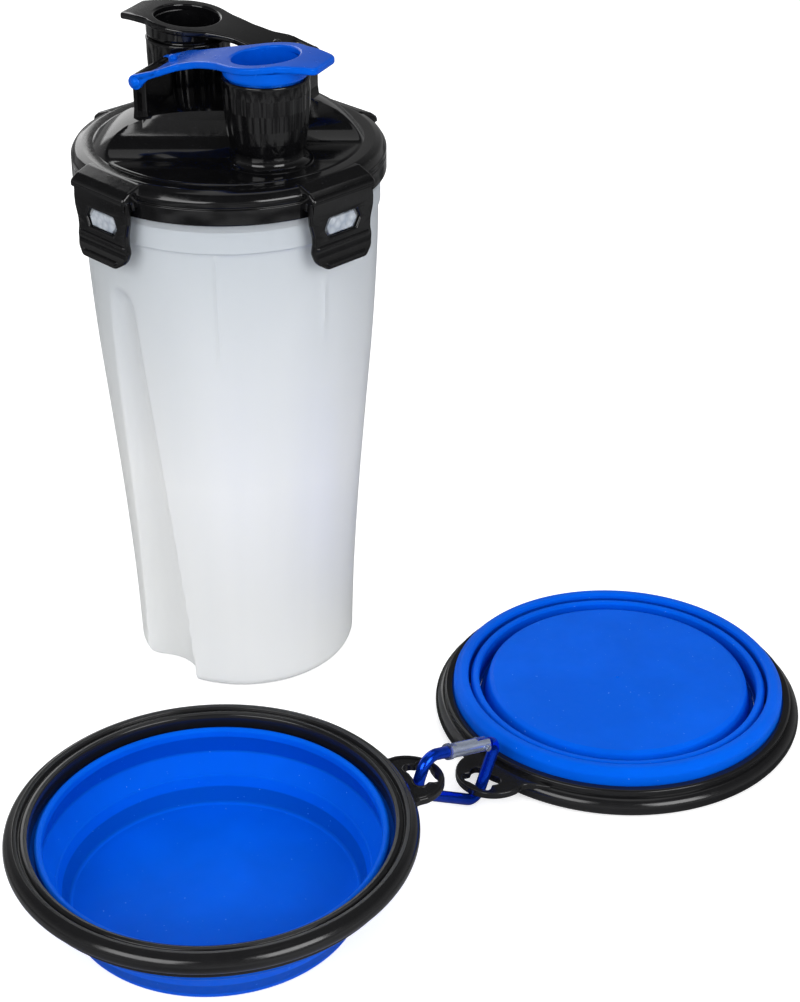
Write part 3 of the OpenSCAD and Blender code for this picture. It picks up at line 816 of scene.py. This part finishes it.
def cap(name, material, tab_corner):
    """Flip cap: a sloped plate with a finger cup, stop ring, plug and the forked hinge with its knobs."""
    cuts = [(0, x) for x in range(-40, 22, 2)]
    hole = arc(0, 0, CUP_R, 0, 355, 71)
    plate = slab("plate", cap_outline(tab_corner), [hole], 0, PLATE_T, material, 0.8, cuts)

    flatten_shading(warp(plate, lambda x, y, z: (x, y, plate_top(max(x, LEVEL_X)) - PLATE_T + z)))
    cup = lathe("cup", rounded([(0, 222.5), (11.4, 222.5, 0.8), (12.3, 225.4, 0.5), (12.5, 226, 0.3),
                                (12.3, 226.8, 0.3), (12.3, 227.2), (13.8, 227.25, 0.4), (14.1, 228.2, 0.5),
                                (14.1, 231.2), (CUP_R - 0.02, 231.6), (CUP_R - 0.02, 225, 1.2),
                                (CUP_R - 1.3, 223.9, 0.6), (0, 223.9)], closed=False), material, 128)
    ends = PIN_Y, LEG_Y + 0.8
    rods = [tube("rod", [(-ARM_L, side * y, PIN_Z) for y in ends], PIN_R, material) for side in (-1, 1)]
    nub = lathe("nub", [(0, 225.4), (1.5, 225.4), *arc(0.3, 227.8, 1.2, 0, 90, 5), (0, 229)], material, 32)
    parts = [plate, cup, *rods, place(nub, at(-33.8, 0, 0))]
    for side in (-1, 1):
        knob = lathe("knob", [(0, -1.3), *arc(0, 0.0, 2.3, -32, 90, 10)[:-1], (0, 2.3)], material, 40)
        parts.append(place(knob, at(-ARM_L, side * (LEG_Y + LEG_T / 2 - 1.3), PIN_Z)
                           @ Matrix.Rotation(-side * math.pi / 2, 4, "X")))
        eye = slab("eye", arc(0, 0, 2.5, 0, 350, 35), [], -LEG_T / 2, LEG_T / 2, material, 0.4)
        parts.append(place(eye, at(-ARM_L, side * LEG_Y, PIN_Z) @ UPRIGHT))
        leg = rounded([(-ARM_L - 2.4, PIN_Z, 1), (-ARM_L - 1.0, PIN_Z + 2.2, 1), (-36, plate_top(-36), 1),
                       (-34, plate_top(-34)), (-34, plate_top(-34) - 2.3),
                       (-37, plate_top(-37) - 2.5, 1), (-ARM_L + 2.0, PIN_Z - 1.2, 1)])
        strut = slab("strut", leg, [], -LEG_T / 2, LEG_T / 2, material, 0.4)
        parts.append(place(strut, at(0, side * LEG_Y, 0) @ UPRIGHT))
    return join(name, parts)


class Caps(bpy.types.Operator):
    """Blue water cap and black food cap"""

    bl_idname = "travel_bottle.caps"
    bl_label = "Caps"

    def execute(self, context):
        blue = blue_plastic([0.9 * c for c in context.scene.bowl_settings.silicone_colour])
        black = bpy.data.materials["black_gloss_abs"]
        water = place(cap("water_cap_shell", blue, 3.2), cap_matrix())
        dress(water, "water_cap", "blue_cap", "water_cap")
        food = place(cap("food_cap_shell", black, 1.0), turn_z(180) @ cap_matrix())
        dress(food, "food_cap", "black_gloss", "food_cap")
        return {"FINISHED"}


# ---------------------------------------------------------------- latches
LATCH_L, BEAD_R, BEAD_Y = 23.6, 1.4, 13.4


def latch_outline():
    """Latch seen from the front, as (across, height from the hinge)."""
    right = [(13.6, -0.4, 0.3), (14.1, -4.6, 3), (13.9, -7.6, 3), (12.7, -12, 5), (12.6, -14.8, 5),
             (13.2, -17.6, 3), (12.2, -21.2, 3.6), (8.6, -LATCH_L, 3.6)]
    left = [(-w, z, r) for w, z, r in reversed(right)]
    return rounded(right + left, steps=7)


def latch_lean(z):
    """How far the latch's plate stands out from the hinge's plane at a height below it."""
    return 0.055 * max(0, -17 - z) ** 2


def latch(material):
    """Latch: a waisted, pillowed plate with its window, a ridge and a scooped finger lip."""
    window = rounded([(-7.8, -10.2, 0.7), (-6, -7.0, 0.7), (6.4, -7.0, 0.7), (7.8, -10.2, 0.7),
                      (6, -13.4, 0.7), (-6.4, -13.4, 0.7)])
    cuts = [(1, -16.8 - 0.6 * i) for i in range(12)]
    plate = slab("plate", latch_outline(), [window], -1.1, 1.0, material, 0.85, cuts)
    ridge = slab("ridge", rounded([(-11.6, -15.5, 0.8), (11.6, -15.5, 0.8), (11.9, -17.1, 0.8),
                                   (-11.9, -17.1, 0.8)]), [], -0.2, 1.6, material, 0.75)
    lip = slab("lip", rounded([(-9.4, -21.2, 0.6), (9.4, -21.2, 0.6), (7.8, -22.7, 0.6), (-7.8, -22.7, 0.6)]),
               [], -0.2, 1.5, material, 0.65, cuts)
    thing = join("latch", [plate, ridge, lip])
    flatten_shading(warp(thing, lambda x, y, z: (x, y, z + latch_lean(y))))
    place(thing, ON_EDGE)
    bead = tube("bead", [(0, -BEAD_Y, 0), (0, BEAD_Y, 0)], BEAD_R, material, sides=6)
    neck = slab("neck", [(-0.7, 0), (0.7, 0), (0.7, -3.4), (-0.7, -3.4)], [], -13.3, 13.3, material, 0.3)
    place(neck, UPRIGHT)
    return place(join("latch", [thing, bead, neck]), Matrix.Translation((HINGE_X, 0, HINGE_Z)))


class Latches(bpy.types.Operator):
    """Four latches round the lid"""

    bl_idname = "travel_bottle.latches"
    bl_label = "Latches"

    def execute(self, context):
        material = bpy.data.materials["black_gloss_abs"]
        for degrees, side in zip(QUARTERS, ("right", "back", "left", "front")):
            piece = place(latch(material), turn_z(degrees))
            piece.name = f"latch_{side}_shell"
            dress(piece, f"latch_{side}", "black_gloss", f"latch_{side}")
        return {"FINISHED"}


# ---------------------------------------------------------------- bowls
RIM_R, BOWL_H, SEAT_Z, TAB_Z, TAB_T, HOLE_AT, FOLD = 65.0, 31.5, 24.4, 23.7, 2.5, 72.5, 17.5
BOWL_A, BOWL_A_TURN = (109.8, -110.4), 70.0
BOWL_B, BOWL_B_TURN = (132.2, 60.0), -89.0


def bone(grow=0.0):
    """Bone-shaped hole: a waisted slot with two lobes at each end."""
    right = [(3.5 + grow, 1.4, 1), *arc(2.3, 3.9, 1.7 + grow, -20, 118, 8), (0.0, 4.6 + grow, 0.6)]
    left = [(-p[0], p[1], *p[2:]) for p in reversed(right[:-1])]
    top = right + left
    bottom = [(-p[0], -p[1], *p[2:]) for p in top]
    return [(x + HOLE_AT, y) for x, y in rounded(top + bottom)]


def tab_outline(inset):
    """Round tab on waisted shoulders that run into the rim."""
    reach = 12.6 - inset
    upper = [(59.6, 20 - inset), (62.2, 15.6 - inset, 3), (64.4, 12.3 - inset, 4),
             *arc(66.7, 0, reach, 82, 0, 16)]
    lower = [(x, -y, *r) for x, y, *r in reversed(upper[:-1])]
    return rounded([*upper, *lower])


def bowl_rim(material):
    """Two-tier black rim with its groove, a rolled bead and the tab."""
    ring = [(56.9, SEAT_Z, 0.4), (61.2, SEAT_Z, 0.3), *arc(61.55, 27.65, RIM_R - 61.6, -78, 72, 14),
            (61.9, 31.45, 0.4), (60.6, 31.2, 0.3), (60.15, 29.9, 0.25), (59.75, 29.9, 0.25),
            (59.4, 30.6, 0.6), (58.4, 30.85, 0.7), (57.3, 30.4, 0.7), (56.9, 29.2, 0.6)]
    parts = [lathe("ring", rounded(ring, steps=6), material, 220)]
    top = TAB_Z + TAB_T
    tab = slab("tab", tab_outline(0), [bone(0.35)], TAB_Z, top, material, 0.5)
    # the lip starts inside the tab's edge, which leaves the carabiner's rod its room
    lip = slab("tab_lip", tab_outline(0.8), [tab_outline(1.6)], TAB_Z + 0.2, top + 0.3, material, 0.35)
    band = slab("hole_lip", bone(1.3), [bone(0.4)], TAB_Z + 0.2, top + 0.2, material, 0.3)
    return join("rim", parts + [tab, lip, band])


def clamp_ring(material):
    """Lower black ring that clamps the silicone from below."""
    seat = SEAT_Z - 0.05
    ring = [(58.9, 21.7, 0.3), (61.2, 21.7, 0.5), (61.8, 22.2, 0.4), (61.8, seat), (61.2, seat),
            (61.2, 22.7, 0.3), (58.9, 22.7, 0.3)]
    return lathe("clamp_ring", rounded(ring, steps=4), material, 220)


# what both bowls' silicone has outside: the hanging band and the flange that the rings pinch
COLLAR_OUTSIDE = [(54.1, 16.2, 0.8), (56.4, 16.15, 2.2), (58.5, 18.4, 2), (58.55, 22.75, 0.2),
                  (60.9, 22.75, 0.3), (60.9, SEAT_Z, 0.2), (55.5, SEAT_Z, 0.2), (55.5, 26.6, 1)]


def skin_outline(edge):
    """Open bowl's silicone as one skin: floor, cup, cone, recessed wall, lip bead and flange."""
    return [(0, 0.05), (45.2, 0.05, 1), (46.6, 0.7, 0.6), (49.2, 7.2, 1.2), (53.0, 14.9, 1.2),
            *COLLAR_OUTSIDE, (54.4, 27.5, 0.9), (53.1, 26.6, 0.9), (52.9, 24.6, 0.6), (54.5, 17.9, 0.5),
            (53.6, 16.7, edge), (49.9, 11.5, 0.4), (49.3, 11.1, 0.4), (48.1, 7.4, 0.4), (46.5, 2.9, 0.7),
            (45.2, 2.1, 0.6), (0, 2.05)]


def collar_outline(edge):
    """Folded bowl's outer band: lip bead, recessed wall and the rounded band that hangs below the rim."""
    return [*COLLAR_OUTSIDE, (54.4, 27.5, 0.9), (52.97, 27.5, 0.3), (52.97, 26.6, 0.3), (53.2, 26, 0.3),
            (53.2, 23.8, 0.7), (54, 22.6, 0.7), (54, 19.2, 0.7), (53.3, 18, edge), (53.4, 16.9, edge)]


def middle_outline(edge):
    """Folded bowl's band between the two folds, closed over the gaps on both sides of it."""
    return [(49.37, 18.1, 0.2), (49.37, 18.8, 0.2), (52.9, 18.8, 0.2), (52.9, 18.1, 0.2), (52.5, 17.8, 0.3),
            (52.4, 10.2, edge), (51.5, 8.85, 1.1), (50.0, 8.85, 0.6), (49.42, 9.7, 0.5), (49.9, 18.0, 0.3)]


def cup_outline(edge):
    """Folded bowl's cup: a flat floor with a moulding nub, a rounded foot and the wall down to its fold."""
    return [(0, -0.2), (0.5, -0.15, 0.2), (0.8, 0.05, 0.2), (44.3, 0.05, 1), (45.9, 0.8, 1.2),
            (47.7, 8.6, 1), (49.28, 9.5, 0.3), (49.28, 10.3, 0.2), (47.0, 10.3, edge), (46.2, 8.8, 0.8),
            (44.6, 3.0, 1.4), (43.3, 2.05, 1.2), (0, 2.05)]


class Bowls(bpy.types.Operator):
    """Open bowl and folded bowl: black rims, clamp rings and blue silicone"""

    bl_idname = "travel_bottle.bowls"
    bl_label = "Bowls"

    def execute(self, context):
        settings = context.scene.bowl_settings
        black = black_satin(settings.rim_colour)
        blue = blue_silicone(settings.silicone_colour)
        edge = settings.edge / MM
        for letter, home in (("a", at(*BOWL_A, 0, BOWL_A_TURN)),
                             ("b", at(*BOWL_B, BOWL_H, BOWL_B_TURN) @ Matrix.Rotation(math.pi, 4, "X"))):
            for part, piece in (("rim", bowl_rim(black)), ("clamp_ring", clamp_ring(black))):
                place(piece, home)
                piece.name = f"bowl_{letter}_{part}_shell"
                dress(piece, f"bowl_{letter}", "black_rim", f"bowl_{letter}_{part}")
        # the open bowl's silicone, which folds on the real bowl, is drawn as one skin in its open shape, from
        # above the cone to below it
        skin = lathe("bowl_a_silicone", rounded(skin_outline(edge), closed=False, steps=6), blue, 256)
        place(skin, at(*BOWL_A, 0, BOWL_A_TURN))
        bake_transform(skin)
        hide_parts("bowl_a_collar", "bowl_a_middle_wall", "bowl_a_cup")
        for part, outline, lift, rides in (("collar", collar_outline(edge), 0, "bowl_b"),
                                           ("middle_wall", middle_outline(edge), FOLD / 2, "bowl_b_middle"),
                                           ("cup", cup_outline(edge), FOLD, "bowl_b_cup")):
            piece = lathe(f"bowl_b_{part}_skin", rounded(outline, closed=part != "cup", steps=6), blue, 256,
                          closed=part != "cup")
            place(piece, home @ Matrix.Translation((0, 0, lift)))
            dress(piece, rides, "blue_silicone", f"bowl_b_{part}")
        return {"FINISHED"}


# ---------------------------------------------------------------- carabiner
BINER_AT, BINER_TILT = (134.0, -26.0, 17.6), 25.5
LOOP = [(9.5, 10.06), (17, 11), (17, -11), (-18, -6.6), (-18, 6.6), (-8.5, 7.8)]
BENDS = [0, 3.4, 4.5, 6.2, 6.2, 0]
ROD_R, TONGUE = 2.0, 3.5


def loop_matrix():
    """Places the carabiner's own plane: x along it, y up in it, z across."""
    return Matrix.Translation(BINER_AT) @ Matrix.Rotation(math.radians(-BINER_TILT), 4, "X") @ ON_EDGE


class Carabiner(bpy.types.Operator):
    """Anodised carabiner rod, and its bare gate with pin and spring"""

    bl_idname = "travel_bottle.carabiner"
    bl_label = "Carabiner"

    def execute(self, context):
        anodised = metal("anodised_blue_aluminium", context.scene.bowl_settings.metal_colour, 0.2, (1, 1, 1))
        bare = metal("bare_aluminium", "#cfdaf2", 0.2, (3, 0.3, 0.3))
        corners = [(*p, r) for p, r in zip(LOOP, BENDS)]
        path = rounded(corners, closed=False, steps=14)
        first = Vector(LOOP[0])
        away = (Vector(LOOP[1]) - first).normalized()
        path[0] = tuple(first + away * TONGUE)
        rod = tube("rod", [(x, y, 0) for x, y in path], ROD_R, anodised, sides=8)
        gate_line = first - Vector(LOOP[5])
        gate_turn = at(*first, 0, math.degrees(math.atan2(gate_line.y, gate_line.x)))
        tongue = slab("tongue", rounded([(-1.9, -1.9, 1.8), (TONGUE + 0.6, -1.7), (TONGUE + 0.6, 1.7),
                                         (-1.9, 1.9, 1.8)]), [], -0.9, 0.9, anodised, 0.25)
        place(tongue, gate_turn)
        nose = tube("nose", [(-gate_line.length - 0.3, 0, 0), (-gate_line.length + 2.6, 0, 0)], 0.9, anodised)
        place(nose, gate_turn)
        place(join("carabiner_rod", [rod, tongue, nose]), loop_matrix())
        dress(rod, "carabiner", "blue_anodised", "carabiner_frame")
        for node in ("carabiner_gate", "gate_pin"):
            paint_node(node, bare)
        paint_node("gate_spring", metal("spring_steel", "#9a9ca0", 0.3, (1, 1, 1)))
        return {"FINISHED"}


# ---------------------------------------------------------------- stage
CAMERA_AT = (525.9, -444.06, 447.24)
CAMERA_AZIMUTH, CAMERA_PITCH, CAMERA_ROLL, LENS = 45.0, 29.637, 0.149, 76.8


def seen_white(tree, shader):
    """Surround that lights as given, is white to the camera and clear plastic, and a dim room to gloss."""
    new = tree.nodes.new
    link = tree.links.new
    path = new("ShaderNodeLightPath")
    room = new("ShaderNodeEmission")
    parts = new("ShaderNodeSeparateXYZ")
    ceiling = new("ShaderNodeMapRange")
    for key, value in (("From Min", 0.0), ("From Max", 0.6), ("To Min", 0.4), ("To Max", 0.07)):
        ceiling.inputs[key].default_value = value
    link(new("ShaderNodeTexCoord").outputs["Generated"], parts.inputs[0])
    link(parts.outputs[2], ceiling.inputs[0])
    link(ceiling.outputs[0], room.inputs["Strength"])
    for rays, seen in ((("Is Glossy Ray",), room),
                       (("Is Camera Ray", "Is Transmission Ray"), new("ShaderNodeEmission"))):
        for ray in rays:
            mix = new("ShaderNodeMixShader")
            link(path.outputs[ray], mix.inputs[0])
            link(shader.outputs[0], mix.inputs[1])
            link(seen.outputs[0], mix.inputs[2])
            shader = mix
    return shader


def softbox(name, place_mm, aim_mm, size, power):
    """Area lamp in millimetres and watts."""
    data = bpy.data.lights.new(name, "AREA")
    data.shape = "RECTANGLE"
    data.size, data.size_y = size[0] * MM, size[1] * MM
    data.energy = power
    lamp = bpy.data.objects.new(name, data)
    lamp.location = Vector(place_mm) * MM
    lamp.rotation_euler = (Vector(aim_mm) - Vector(place_mm)).to_track_quat("-Z", "Y").to_euler()
    bpy.context.scene.collection.objects.link(lamp)


class Stage(bpy.types.Operator):
    """White floor, soft studio lamps, white surround and the camera"""

    bl_idname = "travel_bottle.stage"
    bl_label = "Stage"

    def execute(self, context):
        scene = context.scene
        scene.view_settings.view_transform = "Standard"
        g = Graph("floor_paper")
        path = g.add("ShaderNodeLightPath")
        # painted reflection: glossy rays see the floor in dark and light patches, like a studio's cards;
        # other rays see an even grey
        patches = g.add(NOISE, scale=4.5, detail=1)
        cards = g.add(RANGE, value=patches, from_min=0.4, from_max=0.6, to_min=0.05, to_max=0.4)
        g.feed("Base Color", g.add(MIX, data_type="RGBA", factor=path.outputs["Is Glossy Ray"],
                                   a=(0.76, 0.76, 0.76, 1), b=cards))
        sheen = g.add(NOISE, scale=30, detail=2)
        g.feed("Roughness", g.add(RANGE, value=sheen, from_min=0.3, from_max=0.7, to_min=0.85, to_max=0.95))
        glow = g.add("ShaderNodeEmission", strength=0.62)
        both = g.add("ShaderNodeAddShader")
        g.put(g.shader.outputs[0], both.inputs[0])
        g.put(glow.outputs[0], both.inputs[1])
        mix = g.add("ShaderNodeMixShader")
        g.put(path.outputs["Is Camera Ray"], mix.inputs[0])
        g.put(g.shader.outputs[0], mix.inputs[1])
        g.put(both.outputs[0], mix.inputs[2])
        g.put(mix.outputs[0], g.output.inputs[0])
        span = 9000
        floor = add_object("floor", [(-span, -span, -0.3), (span, -span, -0.3), (span, span, -0.3),
                                     (-span, span, -0.3)], [[0, 1, 2, 3]], g.material)
        world = bpy.data.worlds.new("studio")
        scene.world = world
        world.use_nodes = True
        back = world.node_tree.nodes["Background"]
        back.inputs["Color"].default_value = linear("#f3f4f5")
        back.inputs["Strength"].default_value = 0.62
        surround = seen_white(world.node_tree, back)
        world.node_tree.links.new(surround.outputs[0], world.node_tree.nodes["World Output"].inputs[0])
        target = (60, -20, 90)
        softbox("key", (250, -880, 560), target, (600, 500), 4.2)
        softbox("fill", (950, -120, 520), target, (500, 500), 4.6)
        softbox("top", (-60, 260, 1250), target, (900, 900), 1.6)
        softbox("back", (-950, 300, 620), target, (600, 600), 2.2)
        data = bpy.data.cameras.new("camera")
        data.lens = LENS
        data.sensor_width = 36
        data.clip_start, data.clip_end = 0.05, 60
        camera = bpy.data.objects.new("camera", data)
        aim = (turn_z(CAMERA_AZIMUTH) @ Matrix.Rotation(math.radians(90 - CAMERA_PITCH), 4, "X")
               @ turn_z(CAMERA_ROLL))
        camera.matrix_world = Matrix.Translation(Vector(CAMERA_AT) * MM) @ aim
        scene.collection.objects.link(camera)
        scene.camera = camera
        return {"FINISHED"}


class BottlePanel(bpy.types.Panel):
    """Lists the steps that dress the bottle"""

    bl_idname = "VIEW3D_PT_travel_bottle"
    bl_label = "Travel bottle"
    bl_space_type = "VIEW_3D"
    bl_region_type = "UI"
    bl_category = "Bottle"

    def draw(self, context):
        for settings in (context.scene.bottle_settings, context.scene.bowl_settings):
            for key in settings.__annotations__:
                self.layout.prop(settings, key)
        for operator in OPERATORS:
            self.layout.operator(operator.bl_idname)


OPERATORS = (Stage, BottleBody, Lid, Caps, Latches, Bowls, Carabiner)
CLASSES = (BottleSettings, BowlSettings, *OPERATORS, BottlePanel)


def register():
    for c in CLASSES:
        bpy.utils.register_class(c)
    bpy.types.Scene.bottle_settings = bpy.props.PointerProperty(type=BottleSettings)
    bpy.types.Scene.bowl_settings = bpy.props.PointerProperty(type=BowlSettings)


def unregister():
    del bpy.types.Scene.bottle_settings
    del bpy.types.Scene.bowl_settings
    for c in reversed(CLASSES):
        bpy.utils.unregister_class(c)


def main():
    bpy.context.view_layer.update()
    register()
    for operator in OPERATORS:
        group, name = operator.bl_idname.split(".")
        getattr(getattr(bpy.ops, group), name)()


if __name__ == "__main__":
    main()
